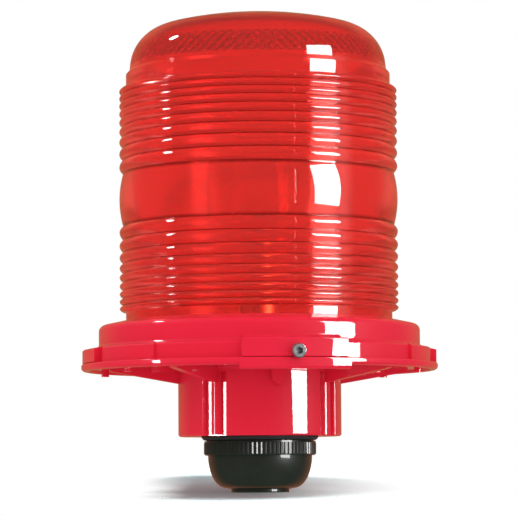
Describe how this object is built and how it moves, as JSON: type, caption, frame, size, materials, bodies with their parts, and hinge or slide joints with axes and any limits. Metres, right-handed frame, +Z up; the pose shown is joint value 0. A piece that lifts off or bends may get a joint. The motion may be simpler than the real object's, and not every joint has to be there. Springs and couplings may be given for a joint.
{
  "type": "warning beacon light",
  "caption": "Warning beacon with a ribbed red glass dome on a cast base, whose clamp ring is locked by two screws, over a black cable gland.",
  "frame": {"origin": "centre of the foot of the cable gland, on the surface that the light stands on", "axes": "+Z up along the axis of the glass dome, -Y towards the first lock screw"},
  "size_m": [0.2208, 0.2312, 0.2973],
  "materials": {
    "red_paint": "gloss enamel on cast aluminium",
    "red_glass": "pressed ruby glass, clear in depth",
    "clear_glass": "thin blown glass",
    "black_gloss": "moulded, glossy",
    "black_rubber": "moulded rubber",
    "cement": "set sealing compound",
    "stainless": "turned, bright",
    "zinc_steel": "zinc plated sheet",
    "brass": "turned brass",
    "porcelain": "white glaze",
    "brown_cover": "wire cover",
    "blue_cover": "wire cover",
    "green_cover": "wire cover",
    "tungsten": "drawn wire"
  },
  "bodies": {
    "base": {"base_casting": "red_paint", "base_gasket": "black_rubber", "gland_body": "black_gloss", "gland_washer": "black_rubber", "gland_dome": "black_gloss", "gland_seal": "black_rubber", "entry_bush": "black_gloss", "mounting_tray": "zinc_steel", "tray_standoffs": "stainless", "tray_screws": "stainless", "tray_grommet": "black_rubber", "holder_body": "porcelain", "holder_shell": "brass", "holder_screws": "stainless", "plunger_springs": "stainless", "terminal_block": "porcelain", "terminal_screws": "brass", "live_lead": "brown_cover", "neutral_lead": "blue_cover", "earth_lead": "green_cover", "earth_screw": "brass"},
    "dome": {"clamp_ring": "red_paint", "lens_glass": "red_glass", "lens_gasket": "black_rubber", "lens_cement": "cement"},
    "front_pad": {"lock_pad_front": "brass"},
    "front_screw": {"lock_screw_front": "stainless"},
    "rear_pad": {"lock_pad_rear": "brass"},
    "rear_screw": {"lock_screw_rear": "stainless"},
    "nut_carrier": {"slip_ring": "brass"},
    "nut": {"gland_nut": "black_gloss"},
    "plungers": {"contact_plungers": "brass"},
    "lamp": {"lamp_bulb": "clear_glass", "lamp_stem": "clear_glass", "lamp_filament": "tungsten", "lamp_cap": "brass", "lamp_insulator": "black_gloss", "lamp_contacts": "stainless"}
  },
  "joints": [
    {"name": "dome_lift", "type": "slide", "parent": "base", "child": "dome", "axis": [0, 0, 1], "range_m": [0, 0.15]},
    {"name": "front_lock_run", "type": "slide", "parent": "dome", "child": "front_pad", "axis": [0, -1, 0], "range_m": [0, 0.0024]},
    {"name": "front_lock_turn", "type": "hinge", "parent": "front_pad", "child": "front_screw", "pos_m": [0, -0.1, 0.0826], "axis": [0, -1, 0], "range_deg": [0, 1080]},
    {"name": "rear_lock_run", "type": "slide", "parent": "dome", "child": "rear_pad", "axis": [0, 1, 0], "range_m": [0, 0.0024]},
    {"name": "rear_lock_turn", "type": "hinge", "parent": "rear_pad", "child": "rear_screw", "pos_m": [0, 0.1, 0.0826], "axis": [0, 1, 0], "range_deg": [0, 1080]},
    {"name": "nut_run", "type": "slide", "parent": "base", "child": "nut_carrier", "axis": [0, 0, -1], "range_m": [0, 0.002]},
    {"name": "nut_turn", "type": "hinge", "parent": "nut_carrier", "child": "nut", "pos_m": [0, 0, 0.027], "axis": [0, 0, -1], "range_deg": [0, 360]},
    {"name": "plunger_press", "type": "slide", "parent": "base", "child": "plungers", "axis": [0, 0, -1], "range_m": [0, 0.002], "stiffness_N_per_m": 2500, "springref_m": -0.004, "deforming": ["plunger_springs"]},
    {"name": "lamp_twist", "type": "hinge", "parent": "plungers", "child": "lamp", "pos_m": [0, 0, 0.12], "axis": [0, 0, 1], "range_deg": [0, 18]}
  ],
  "couplings": [
    {"joint": "front_lock_turn", "follows": "front_lock_run", "rad_per_m": 7853.9},
    {"joint": "rear_lock_turn", "follows": "rear_lock_run", "rad_per_m": 7853.9},
    {"joint": "nut_run", "follows": "nut_turn", "m_per_rad": 0.0003183}
  ]
}
